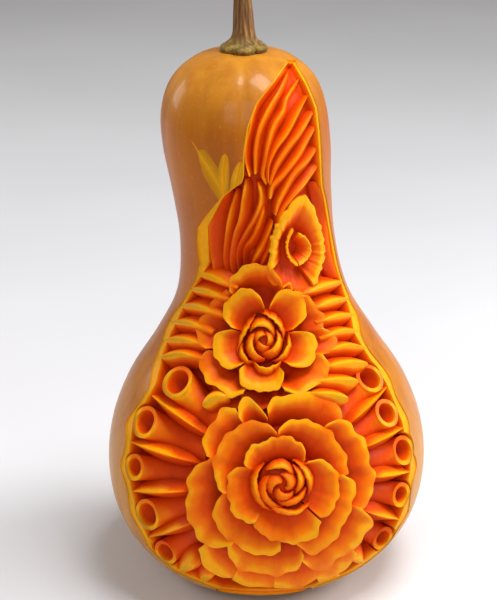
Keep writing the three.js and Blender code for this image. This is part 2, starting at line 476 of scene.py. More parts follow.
@dataclass(frozen=True)
class MoistFlesh(Finish):
    """Cut flesh: yellow just under the skin and orange below it as its own colour, darkening to red-orange where
    it is deepest as partly painted shade, with painted shade in recesses and painted light on raised lips.
    """

    coat: float = 0.02

    def paint(self, tree: bpy.types.NodeTree, shader: bpy.types.Node) -> None:
        """Paint the flesh by its depth under the skin, with painted shade in deep places and recesses, painted
        light on raised lips, and a fine fibrous grain.
        """
        depth = tree.nodes.new("ShaderNodeAttribute")
        depth.attribute_name = DEPTH_AND_SHADE_NAME
        # Yellow to orange is the flesh's own colour; the darker red at the deep end is partly painted shade.
        depth_and_shade_colour = ramp(
            tree,
            depth.outputs["Fac"],
            [
                (0.0, (186, 116, 16)), (0.05, (222, 160, 14)), (0.11, (250, 170, 8)),
                (0.19, (244, 124, 2)), (0.36, (224, 76, 0)), (1.0, (176, 32, 0)),
            ],
        )
        grain = ramp(
            tree, pattern(tree, (420, 420, 260), 3), [(0.3, (232, 214, 190)), (0.7, (255, 255, 255))]
        )
        colour = blend(tree, "MULTIPLY", 0.35, depth_and_shade_colour, grain)
        tree.links.new(colour, shader.inputs["Base Color"])
        shader.inputs["Coat Weight"].default_value = self.coat
        shader.inputs["Coat Roughness"].default_value = 0.35
        shader.inputs["Specular IOR Level"].default_value = 0.09
        shader.inputs["Subsurface Weight"].default_value = 0.15
        shader.inputs["Subsurface Radius"].default_value = (1.0, 0.35, 0.06)
        shader.inputs["Subsurface Scale"].default_value = 2 * MM
        roughen(tree, shader, pattern(tree, (500, 500, 350), 3), 0.3, 0.2)


@dataclass(frozen=True)
class DryStalk(Finish):
    """Dry, ridged stalk: brown above, and olive at the collar."""

    def paint(self, tree: bpy.types.NodeTree, shader: bpy.types.Node) -> None:
        """Paint fibres along the stalk, and fade to olive near the collar."""
        fibres = ramp(
            tree,
            pattern(tree, (700, 700, 40), 5),
            [(0.3, (70, 42, 14)), (0.5, (118, 76, 28)), (0.72, (168, 124, 64))],
        )
        olive = ramp(
            tree,
            pattern(tree, (300, 300, 160), 4),
            [(0.3, (70, 55, 12)), (0.5, (120, 94, 28)), (0.7, (172, 146, 66))],
        )
        near = tree.nodes.new("ShaderNodeAttribute")
        near.attribute_name = COLLAR_NAME
        colour = blend(tree, "MIX", near.outputs["Fac"], fibres, olive)
        tree.links.new(colour, shader.inputs["Base Color"])
        roughen(tree, shader, pattern(tree, (900, 900, 70), 5), 0.7, 0.5)


@dataclass(frozen=True)
class MattFloor(Finish):
    """The plain pale surface that the squash stands on."""

    def paint(self, tree: bpy.types.NodeTree, shader: bpy.types.Node) -> None:
        """Paint the floor almost even, with a very faint cloudiness."""
        cloud = ramp(tree, pattern(tree, (3, 3, 3), 2), [(0.3, (220, 220, 224)), (0.7, (226, 226, 230))])
        tree.links.new(cloud, shader.inputs["Base Color"])


# The flesh's depth under the skin, mixed with painted shade in recesses and painted light on raised lips.
DEPTH_AND_SHADE_NAME = "depth_and_shade_share"
COLLAR_NAME = "collar_share"
SKIN = WaxySkin("waxy_skin", 0.45)
FLESH = MoistFlesh("moist_flesh", 0.5)
STALK = DryStalk("dry_stalk", 0.75)
FLOOR = MattFloor("pale_floor", 0.8)


# ---- The uncarved fruit ----


@dataclass(frozen=True)
class Skin:
    """The fruit's outer surface, and the leaning plane that the carving is laid out on.

    Attributes:
        outline: Radius and height, from the rim of the flat it stands on to the crown.
        axis: How far the middle is shifted sideways at each height.
        lean: How far the layout plane leans back.
        ribs: How many faint ribs the shoulder has.
        rib_depth: How deep the ribs are at the top.
        rib_start: The height at which the ribs begin.
    """

    outline: Pairs = (
        (25, 0), (37, 0.9), (48, 3.4), (59.5, 9.3), (72.5, 21.5), (83.5, 40), (88, 63), (85.8, 88),
        (76.5, 113),
        (60, 139), (46.6, 164), (41.6, 193), (42.2, 222), (44.2, 247), (43.2, 266), (38, 281),
        (27.5, 291.4),
        (14, 295.9), (0, 294),
    )
    axis: Pairs = (
        (-5, 0), (-1.5, 14), (0, 34), (0, 140), (-4, 190), (-9.2, 236), (-11.6, 264), (-11.6, 300),
    )
    lean: float = 21
    ribs: int = 10
    rib_depth: float = 0.9
    rib_start: float = 225

    def __post_init__(self) -> None:
        """Sample the outline and the axis once, for looking up."""
        samples = smooth_curve(self.outline, 600)
        top = int(np.argmax(samples[:, 1]))
        object.__setattr__(self, "profile", np.maximum(samples, [0, 0]))
        object.__setattr__(self, "side", self.profile[: top + 1])
        object.__setattr__(self, "middle", smooth_curve(self.axis, 200))

    @property
    def top(self) -> float:
        """Return the height of the crown's highest ring."""
        return float(self.side[-1, 1])

    def shift(self, height: np.ndarray | float) -> np.ndarray:
        """Return how far the axis is shifted sideways at a height."""
        return np.interp(height, self.middle[:, 1], self.middle[:, 0])

    def level_depth(self, points: np.ndarray) -> np.ndarray:
        """Return how far points are inside the skin, measured level, and below 0 outside."""
        radius = np.interp(points[:, 2], self.side[:, 1], self.side[:, 0])
        from_axis = np.hypot(points[:, 0] - self.shift(points[:, 2]), points[:, 1])
        beyond = np.maximum(-points[:, 2], points[:, 2] - self.top)
        return np.where(beyond > 0, -1.0 - beyond, radius - from_axis)

    def normal(self, points: np.ndarray) -> np.ndarray:
        """Return the skin's outward directions at points on it."""
        step = 0.5
        slope = np.empty_like(points)
        for axis, move in enumerate(np.eye(3) * step):
            slope[:, axis] = self.level_depth(points - move) - self.level_depth(points + move)
        return slope / np.linalg.norm(slope, axis=1, keepdims=True)

    def plane(self) -> tuple[np.ndarray, np.ndarray]:
        """Return the layout plane's upward and outward directions."""
        lean = math.radians(self.lean)
        up = np.array([0, math.sin(lean), math.cos(lean)])
        out = np.array([0, -math.cos(lean), math.sin(lean)])
        return up, out

    def under(self, across: np.ndarray, up: np.ndarray, depth: np.ndarray | float) -> np.ndarray:
        """Find the points that lie under the skin at places in the layout.

        Args:
            across: How far to the right each place is.
            up: How far up the slope it is.
            depth: How deep each point is, along the skin's own direction.

        Returns:
            The points in millimetres, one row each.
        """
        slope_up, slope_out = self.plane()
        base = np.outer(across, [1, 0, 0]) + np.outer(up, slope_up)
        inner, best = np.zeros(len(base)), np.full(len(base), -np.inf)
        for distance in np.arange(-60, 150, 3.0):
            inside = np.minimum(self.level_depth(base + distance * slope_out), 0)
            inner, best = np.where(inside >= best, distance, inner), np.maximum(inside, best)
        outer = inner + 3.0
        for _ in range(14):
            halfway = (inner + outer) / 2
            inside = self.level_depth(base + halfway[:, None] * slope_out) >= 0
            inner, outer = np.where(inside, halfway, inner), np.where(inside, outer, halfway)
        skin = base + inner[:, None] * slope_out
        return skin - self.normal(skin) * np.broadcast_to(depth, len(base))[:, None]

    def build(self, sides: int = 132, rings: int = 120) -> bpy.types.Object:
        """Make the uncarved fruit, with faint ribs on its shoulder.

        Args:
            sides: Steps around the fruit.
            rings: Steps along its outline.

        Returns:
            The fruit, with skin all over.
        """
        outline = np.maximum(smooth_curve(self.outline, rings), [0, 0])
        outline[-1, 0] = 0
        fruit = turned("carved_squash", np.vstack([[0, 0], outline]), sides)
        points = points_of(fruit) / MM
        angle = np.arctan2(points[:, 1], points[:, 0])
        rise = np.clip((points[:, 2] - self.rib_start) / (self.top - self.rib_start), 0, 1)
        near_stem = np.clip(np.hypot(points[:, 0], points[:, 1]) / 20, 0, 1)
        groove = np.abs(np.cos(self.ribs / 2 * angle)) ** 0.6 - 1
        sink = 1 + self.rib_depth / 44 * groove * rise * near_stem * 1.6
        points[:, :2] *= sink[:, None]
        points[:, 0] += self.shift(points[:, 2])
        set_points(fruit, points * MM)
        dress(fruit, Face.SKIN)
        return fruit


FRUIT = Skin()


# ---- The hollow that the ornament stands in ----


@dataclass(frozen=True)
class Hollow:
    """The hollow cut into the fruit's front.

    Attributes:
        edge: Rows of how far up, the left and right edges there, and the floor's depth.
        above_skin: How far the cutter stands out of the skin.
        bevel: How far the peeled band around the hollow reaches beyond it beside the roses.
        leaf_bevel: The same beside the leaves.
        leaf_start: How far up the leaves begin.
        strip: How much wider the band is on the left of the small leaf.
        peel: How deep the band is.
    """

    edge: tuple[tuple[float, float, float, float], ...] = (
        (-9, -24, 22, 8), (0, -47, 46, 11), (14, -62, 66, 13), (32, -70, 75, 13), (58, -75.5, 79, 13),
        (82, -72, 74, 13), (104, -59, 65, 13), (120, -56, 54, 12), (130, -52, 48, 11), (142, -46, 46, 10),
        (154, -39, 42, 10), (166, -31, 38, 9.5), (185, -31, 34, 9), (200, -22.3, 31, 8.5),
        (207, -11.8, 29, 8.5),
        (222, -11.1, 28, 8.5), (234, -9.1, 27, 8), (246, -4.6, 25.5, 7), (258, 4.2, 20.5, 6),
        (270, 11.5, 14, 4.5),
    )
    above_skin: float = 5
    bevel: float = 2.6
    leaf_bevel: float = 0.8
    leaf_start: float = 150
    strip: float = 4.5
    peel: float = 1.3

    def cutter(self, name: str, grow: float, leaf_grow: float, share: float) -> bpy.types.Object:
        """Make a cutter with the hollow's outline.

        Args:
            name: The object's name.
            grow: How far it reaches beyond the outline beside the roses.
            leaf_grow: The same beside the leaves.
            share: How deep it is, as a share of the floor's depth, or 0 for the peeled band.

        Returns:
            The cutter.
        """
        rows = np.array(self.edge)

        def place(across: np.ndarray, along: np.ndarray, down: np.ndarray) -> np.ndarray:
            """Spread the block between the hollow's edges."""
            up = rows[0, 0] - grow + along * (rows[-1, 0] + leaf_grow - rows[0, 0] + grow)
            left, right, floor = (np.interp(up, rows[:, 0], rows[:, k]) for k in (1, 2, 3))
            wide = np.interp(up, (self.leaf_start - 8, self.leaf_start + 8), (grow, leaf_grow))
            wide = wide * (1 + 0.3 * np.sin(up / 4.1) * (up < self.leaf_start))
            if not share:
                left = left - self.strip * np.clip(1 - ((up - 178) / 21) ** 2, 0, 1)
            near_edge = np.abs(2 * across - 1) ** 8
            bottom = share * floor * (
                1 - 0.25 * near_edge
            ) if share else self.peel * (1 - 0.5 * near_edge)
            depth = -self.above_skin + down * (self.above_skin + bottom)
            left, right = left - wide, right + wide
            return FRUIT.under(left + across * (right - left), up, depth)

        return bent_block(name, 50, 92, place)

    def build(self) -> list[bpy.types.Object]:
        """Make the cutters for the hollow and for the peeled band around it."""
        return [
            self.cutter("hollow", 0, 0, 1), self.cutter("peeled_band", self.bevel, self.leaf_bevel, 0)
        ]


# ---- Roses ----


@dataclass(frozen=True)
class Petal:
    """One petal of a rose.

    Attributes:
        start: The angle at one side, counter-clockwise from the right.
        end: The angle at the other side, which may be less.
        reach: How far the lip is from the rose's centre, at even steps from start to end.
        tilt: How much deeper the lip is at its end than at its start.
    """

    start: float
    end: float
    reach: tuple[float, ...]
    tilt: float = 1.0


@dataclass(frozen=True)
class Ring:
    """A ring of petals.

    Attributes:
        root_radius: Where the petals' faces begin.
        root: How deep the faces begin.
        lip: How deep the lips are.
        petals: The petals.
        lip_thickness: How thick a lip is.
        cup: How much deeper the middle of a face is.
        ripple: How far the lips wander in and out.
        inward: How far the lips lean in over the heart from the petals' reach, or 0 if they open out.
    """

    root_radius: float
    root: float
    lip: float
    petals: tuple[Petal, ...]
    lip_thickness: float = 1.5
    cup: float = 0.8
    ripple: float = 0.5
    inward: float = 0


@dataclass(frozen=True)
class Rose:
    """A rose: a domed heart, petals that close over it, and rings of petals that open outwards.

    Attributes:
        name: The rose's name.
        centre: Its centre in the layout.
        heart_radius: The dome's radius.
        heart_depth: How deep the dome's top is.
        rings: The rings, from the inside out.
    """

    name: str
    centre: tuple[float, float]
    heart_radius: float
    heart_depth: float
    rings: tuple[Ring, ...]

    def petal(self, ring: Ring, petal: Petal, number: int) -> bpy.types.Object:
        """Carve one petal.

        Args:
            ring: The ring it is in.
            petal: The petal's own shape.
            number: Its number in the rose, which sets how its lip wanders.

        Returns:
            The petal as a closed sheet, rooted under the hollow's floor.
        """
        sweep = abs(petal.end - petal.start)
        lip_length = math.radians(sweep) * max(petal.reach)
        reach = smooth_curve([(i, r) for i, r in enumerate(petal.reach)], 200)

        def place(turn: np.ndarray, rise: np.ndarray, down: np.ndarray) -> np.ndarray:
            """Fan the block out from the root to the lip."""
            angle = np.radians(petal.start + (petal.end - petal.start) * turn)
            lip = np.interp(turn * (len(petal.reach) - 1), reach[:, 0], reach[:, 1])
            wander = np.sin(angle * 17 + number * 2.1) + 0.7 * np.sin(angle * 31 + number * 4.7)
            lip += ring.ripple * wander
            middle = np.sin(np.pi * np.clip(turn, 0.03, 0.97))
            root = lip if ring.inward else ring.root_radius
            radius = root + (lip - ring.inward * middle**0.6 - root) * rise
            climb = 1 - (1 - rise) ** 1.5
            across_face = 1 - (2 * turn - 1) ** 2
            face = ring.root + (ring.lip - ring.root) * climb * (middle**0.45 if ring.inward else 1)
            face += ring.cup * np.sin(np.pi * rise) * across_face + petal.tilt * (turn - 0.5) * rise
            face += 0.7 * np.clip((rise - 0.82) / 0.18, 0, 1) ** 2
            thickness = 6 + (ring.lip_thickness - 6) * climb
            depth = face + thickness * down
            across = self.centre[0] + radius * np.cos(angle)
            return FRUIT.under(across, self.centre[1] + radius * np.sin(angle), depth)

        return bent_block("petal", max(int(lip_length / 1.25), 10), 10, place)

    def heart(self) -> bpy.types.Object:
        """Carve the dome that the innermost petals wrap."""

        def place(across: np.ndarray, along: np.ndarray, down: np.ndarray) -> np.ndarray:
            """Round a block into a dome."""
            round_x, round_y = disc(across, along)
            from_middle = np.minimum(np.hypot(round_x, round_y), 1)
            top = self.heart_depth + (14 - self.heart_depth) * (1 - np.sqrt(1 - from_middle**2))
            depth = np.where(down > 0.5, 17, top)
            radius = self.heart_radius
            return FRUIT.under(
                self.centre[0] + radius * round_x, self.centre[1] + radius * round_y, depth
            )

        return bent_block("heart", 18, 18, place)

    def build(self) -> bpy.types.Object:
        """Carve the whole rose."""
        pieces = [(ring, petal) for ring in self.rings for petal in ring.petals]
        petals = (self.petal(ring, petal, number) for number, (ring, petal) in enumerate(pieces))
        rose = combine(self.heart(), petals, Cut.JOIN)
        LOG.info("%s: %d petals, %d faces", self.name, len(pieces), len(rose.data.polygons))
        return rose


LARGE_ROSE = Rose(
    name="large rose",
    centre=(8.4, 50.5),
    heart_radius=15,
    heart_depth=6.8,
    rings=(
        Ring(0, 6, 3.2, (
            Petal(95, -50, (7.6, 9, 8.8, 6.4, 3.4), 1), Petal(-25, -170, (7.6, 9, 8.6, 6.4, 3.4), 1),
            Petal(-145, -290, (7.6, 9, 8.6, 6.4, 3.4), 1),
        ), 3, -0.9, 0.1, 5.8),
        Ring(0, 7.2, 3.6, (
            Petal(134, 40, (13, 14.6, 15, 12.6, 9.5), 1), Petal(62, -32, (13.8, 14.6, 14, 12, 9.5), 1),
            Petal(-4, -110, (14.2, 14.4, 13.6, 12.2, 9.5), 1),
            Petal(-88, -225, (12.6, 13.8, 14, 12.4, 9.5), 1),
        ), 2.5, -0.9, 0.1, 5),
        Ring(0, 8, 3.6, (
            Petal(128, 250, (16.5, 18.4, 18, 17.4, 16), 1), Petal(66, -20, (16.5, 18.8, 18.8, 17), 1),
            Petal(331, 224, (19.5, 20, 17.8, 15.5, 12), 1),
        ), 2.8, -0.9, 0.15, 5),
        Ring(15, 10.8, 3.2, (
            Petal(150, 49, (23, 27.5, 26.5, 27.5, 26, 20)),
            Petal(44, -40, (20.5, 28, 31, 31.5, 31.5, 29)),
            Petal(-43, -126, (29, 34, 33, 31, 29.5, 26)),
            Petal(150, 233, (22, 29, 30, 29.7, 30.5, 29, 25), -1),
        )),
        Ring(22, 13, 3.2, (
            Petal(95, 187, (29, 38, 40.5, 41, 40, 37, 32), -1),
            Petal(94, 9, (30, 37, 38.3, 39.5, 38.6, 38.5, 37)),
            Petal(10, -76, (35, 40.5, 40.3, 41, 43, 44, 35)),
            Petal(-91, -173, (36, 40.5, 41.3, 41.8, 42.5, 40, 33)),
        )),
        Ring(33, 14, 2.2, (
            Petal(122, 102, (45, 50.5, 50.5, 46, 38)), Petal(121, 158, (49, 52.5, 50.5, 49, 45), -1),
            Petal(101, 48, (43, 48.5, 50, 52, 53, 49)),
            Petal(54, -17, (41, 49, 50, 50.3, 49.8, 50.8, 50.4, 46)),
            Petal(-17, -75, (46, 55, 55, 53.5, 55.5, 46)),
            Petal(229, 287, (45, 51, 52.3, 51.5, 51.3, 50, 41), 0.5),
            Petal(158, 230, (42, 49, 51.5, 53, 54.4, 52.5, 44), -1),
        ), 1.5, 0.8, 0.8),
        Ring(44, 13, 0.8, (
            Petal(218, 243, (57, 61, 62, 60)), Petal(243, 266, (58, 60.5, 60, 58)),
            Petal(266, 290, (58, 60, 60.5, 58)),
            Petal(290, 316, (60, 62, 61, 57)),
        ), 1.6, 0.6, 0.6),
    ),
)

BUD = Rose(
    name="bud",
    centre=(18, 173),
    heart_radius=2,
    heart_depth=15,
    rings=(
        Ring(0.6, 16, 2, (
            Petal(106, 268, (11, 7.6, 6.6, 7, 8.5), 0), Petal(88, -85, (8.5, 7.8, 7.6, 7, 8), 0),
        ), 1.4, 0, 0.2),
        Ring(7, 11, 1.0, (
            Petal(84, 214, (28.5, 20, 16.5, 16, 20), 0), Petal(84, -66, (28.5, 17.5, 14.5, 15, 20), 0),
        ), 1.8, -1.5, 0.4),
        Ring(7, 13, 3.5, (Petal(206, 300, (22, 23, 21, 22, 21), 0),), 1.8, 0.6, 0.4),
    ),
)

SMALL_ROSE = Rose(
    name="small rose",
    centre=(-1.5, 127),
    heart_radius=11,
    heart_depth=6.4,
    rings=(
        Ring(0, 5.4, 2.5, (
            Petal(80, -60, (4.8, 6, 5.6, 3.4), 0), Petal(-40, -180, (4.8, 6, 5.6, 3.4), 0),
            Petal(-160, -300, (4.8, 6, 5.6, 3.4), 0),
        ), 2.2, -0.5, 0.1, 3.8),
        Ring(0, 6.4, 2.5, (
            Petal(150, 15, (9.6, 11.4, 11.4, 9.8, 7), 1), Petal(35, -100, (9.8, 11.4, 11.2, 9.6, 7), 1),
            Petal(-85, -222, (9.8, 11.6, 11.4, 9.6, 7), 1),
        ), 2.4, -0.8, 0.1, 4.9),
        Ring(0, 7.4, 2.5, (
            Petal(204, 110, (17, 15, 14, 13.6), 1), Petal(98, 0, (14.4, 15, 14.6, 12.4), 1),
            Petal(18, -62, (15.8, 17, 16, 12), 1), Petal(316, 236, (15, 17, 18, 16, 12), 1),
            Petal(240, 184, (13, 16.6, 16.4, 13), 1),
        ), 2.4, -0.5, 0.2, 4),
        Ring(12.5, 10, 1.6, (
            Petal(160, 88, (18.4, 26.5, 28, 28.4, 28, 24, 17)),
            Petal(78, 19, (19, 27, 30, 31.6, 30, 27, 18)),
            Petal(15, -42, (17, 28, 29.1, 29.2, 27, 19)),
            Petal(229, 303, (20, 25.5, 26.4, 26, 26.6, 25.4, 20), -1),
            Petal(163, 226, (18.5, 26, 28, 27.8, 27, 25, 18.5), -1),
        ), 1.5, 0.8, 0.4),
        Ring(22, 12.5, 1.8, (
            Petal(127, 66, (31, 37, 38.4, 38.8, 37, 34, 28.5)), Petal(68, 57, (30, 33, 30)),
            Petal(47, 11, (31, 34.5, 33.5, 36.5, 34)), Petal(11, -14, (33, 39, 40, 38.4, 31)),
            Petal(-13, -66, (33, 39, 38.5, 35.5, 34, 28)),
            Petal(190, 248, (32, 37.8, 37.5, 35, 34.3, 30), -1),
            Petal(129, 188, (33, 34.5, 34, 37, 37, 32), -1),
        ), 1.5, 0.8, 0.5),
        Ring(25, 13.5, 7, (
            Petal(244, 304, (30, 33.5, 34, 34, 33)), Petal(-22, -62, (38, 43, 44, 43, 38)),
            Petal(218, 246, (38, 42, 38)),
        ), 1.5, 0.8, 0.5),
    ),
)


# ---- Leaves, bud and fronds ----


@dataclass(frozen=True)
class Blade:
    """A carved blade: a sharp raised edge along a line, whose faces fall away from it.

    Attributes:
        line: The edge's line in the layout, from its tip to its root.
        fall_right: How wide the face is on the right of the line, going towards the root.
        fall_left: How wide it is on the left.
        edge: How deep the raised edge is.
        valley: How deep the faces end.
        taper: How much narrower the blade gets at both ends.
        sink: How much deeper the edge is at the root than at the tip.
        crest: How rounded the edge is: sharp below 1, and rounder above it.
    """

    line: Pairs
    fall_right: float = 1.0
    fall_left: float = 7.0
    edge: float = 1.2
    valley: float = 8
    taper: float = 0.4
    sink: float = 0
    crest: float = 0.85

    def build(self) -> bpy.types.Object:
        """Carve the blade."""
        length = float(np.linalg.norm(np.diff(smooth_curve(self.line, 120), axis=0), axis=1).sum())

        def place(across: np.ndarray, along: np.ndarray, down: np.ndarray) -> np.ndarray:
            """Lay the block along the line, with its raised edge on it."""
            width = 1 - self.taper * np.abs(2 * along - 1) ** 4
            ridge = self.fall_left / (self.fall_left + self.fall_right)
            side = np.where(across < ridge, (across - ridge) / ridge, (across - ridge) / (1 - ridge))
            offset = width * np.where(side < 0, side * self.fall_left, side * self.fall_right)
            ends = 1.5 * np.clip(1 - along / 0.06, 0, 1)
            face = self.edge + ends + self.sink * along**3 + (
                self.valley - self.edge
            ) * np.abs(side) ** self.crest
            depth = np.where(down > 0.5, np.maximum(face, self.valley) + 6, face)
            return FRUIT.under(*beside(self.line, along, offset), depth)

        cells = 12 if min(self.fall_left, self.fall_right) > 2 else 8
        return bent_block("blade", cells, max(int(length / 1.2), 8), place)


@dataclass(frozen=True)
class Foliage:
    """A group of blades.

    Attributes:
        name: The group's name.
        blades: Its blades.
    """

    name: str
    blades: tuple[Blade, ...]

    def build(self) -> bpy.types.Object:
        """Carve the whole group."""
        first, *others = (blade.build() for blade in self.blades)
        group = combine(first, others, Cut.JOIN)
        LOG.info("%s: %d blades, %d faces", self.name, len(self.blades), len(group.data.polygons))
        return group


BIG_LEAF = Foliage("big leaf", (
    Blade(
        ((12, 270), (5, 260), (-2, 251), (-6, 244), (-9, 233), (-11, 224), (-11, 216), (-9, 209)), 1.2,
        4.6, 1.0, 7,
    ),
    Blade(((13, 268), (7, 254), (1, 243), (-4, 232), (-6, 222), (-6, 210)), 1.2, 7, 1.4, 8),
    Blade(((21, 267), (11, 250), (9, 243), (4, 235), (1, 226), (-1, 216), (-2, 209), (0, 205)), 1.2, 6.5),
    Blade(((27, 261), (16, 240), (11, 231), (5, 223), (1, 214), (1, 206)), 1.2, 5.5),
    Blade(((31, 254), (19, 233), (11, 223), (5, 214), (2, 205)), 1.2, 6.5),
    Blade(((33, 246), (23, 230), (17, 220), (9, 210), (3, 204), (2, 198)), 1.2, 7),
    Blade(((34, 235), (23, 219), (15, 211), (9, 201), (6, 195), (5, 190)), 1.2, 7),
    Blade(((34, 225), (22, 208), (14, 199), (8, 191), (6, 184)), 1.2, 6),
))

SMALL_LEAF = Foliage("small leaf", (
    Blade(((-20, 202), (-28, 195), (-31, 187), (-31, 175), (-29, 156)), 1.0, 7.5, 0.8, 8, sink=3),
    Blade(((-16, 202), (-20, 192), (-23, 180), (-25, 166), (-23, 157)), 1.2, 6, 1.6, 8, sink=5),
    Blade(
        ((-11, 207), (-13, 197), (-15, 187), (-18, 180), (-21, 166), (-20, 157)), 1.2, 7, 1.3, 8, sink=5
    ),
    Blade(((-4, 205), (-3, 198), (-6, 189), (-12, 180), (-17, 171), (-17, 157)), 1.2, 7, 1.3, 8, sink=6),
    Blade(((-1, 194), (-5, 184), (-8, 178), (-13, 172), (-13, 158)), 1.2, 6, 1.4, 8, sink=6),
    Blade(((4, 187), (-2, 175), (-8, 165), (-8, 158)), 1.2, 6, 1.4, 8, sink=6),
    Blade(((3, 180), (1, 172), (-3, 164), (-3, 158)), 1.2, 6, 2.4, 8, sink=5),
))

BUD_LEAF = Foliage("bud leaf", (
    Blade(((28, 208), (32, 197), (34, 184), (36, 172), (40, 160)), 3, 4, 1.2, 6, 0.6),
))

def frond(tip: tuple[float, float], root: tuple[float, float], half_width: float) -> Blade:
    """Carve a round-crested tongue that runs in from the hollow's edge.

    Args:
        tip: Where it begins, outside the hollow's edge.
        root: Where it ends.
        half_width: Half of its width, before the small change that each one gets.

    Returns:
        The tongue, bowed up a little.
    """
    bow = 1.5 + 0.9 * math.sin(1.3 * tip[1])
    middle = ((tip[0] + root[0]) / 2, (tip[1] + root[1]) / 2 + bow)
    width = half_width * (1 + 0.13 * math.sin(2.1 * tip[1]))
    return Blade((tip, middle, root), width, width, 0.4, 8, 0.5, 2.5, 1.6)


FRONDS = Foliage("fronds", tuple(
    frond(tip, root, half_width) for half_width, ends in (
        (5.4, (
            ((-41, 163), (-16, 153)), ((-43, 154), (-20, 147)), ((-49, 145), (-24, 139)),
            ((-55, 136), (-30, 131)), ((-58, 126), (-32, 124)), ((-58, 117), (-34, 117)),
            ((44, 158), (20, 150)), ((47, 149), (26, 143)), ((51, 140), (28, 136)),
            ((53, 131), (30, 128)),
            ((55, 122), (32, 121)), ((56, 114), (30, 113)), ((50, 105), (26, 106)), ((44, 96), (24, 100)),
            ((-34, 93), (-20, 98)),
        )),
        (6.5, (
            ((-48, -2), (-36, 6)), ((-36, -8), (-28, -1)), ((41, -6), (37, 0)), ((54, 3), (46, 9)),
        )),
    ) for tip, root in ends
))


@dataclass(frozen=True)
class PeeledLeaf:
    """A leaf that is only peeled out of the skin, left of the carved leaves.

    Attributes:
        line: Its middle line in the layout, from its tip.
        width: How wide it is in its middle.
        depth: How deep it is peeled.
        groove: How much deeper its middle line is cut.
    """

    line: Pairs
    width: float
    depth: float = 0.35
    groove: float = 0.4

    def cutter(self, name: str, width: float, depth: float) -> bpy.types.Object:
        """Make a cutter along the leaf's middle line.

        Args:
            name: The object's name.
            width: How wide it is at the skin.
            depth: How deep it is.

        Returns:
            The cutter.
        """

        def place(across: np.ndarray, along: np.ndarray, down: np.ndarray) -> np.ndarray:
            """Lay a wedge along the line."""
            swell = 0.06 + 0.94 * np.sin(np.pi * np.clip(along, 0, 0.9) ** 0.75) ** 0.6
            offset = (across - 0.5) * width * swell
            bottom = depth * (0.35 + 0.65 * (1 - np.abs(2 * across - 1)))
            return FRUIT.under(*beside(self.line, along, offset), np.where(down > 0.5, bottom, -2.0))

        return bent_block(name, 6, 26, place)

    def build(self) -> list[bpy.types.Object]:
        """Make the cutters for the leaf and for its middle groove."""
        return [
            self.cutter("peeled_leaf", self.width, self.depth),
            self.cutter("leaf_groove", 1.3, self.depth + self.groove),
        ]


PEELED_LEAVES = (
    PeeledLeaf(((-39, 229), (-33, 219), (-26, 208), (-21, 198), (-18, 190)), 8.5),
    PeeledLeaf(((-21, 221), (-22, 211), (-22, 200), (-21, 190)), 6, 0.6),
    PeeledLeaf(((-13, 217), (-15, 209), (-17, 199), (-19, 190)), 6, 0.8),
)


# ---- Rolled petals ----


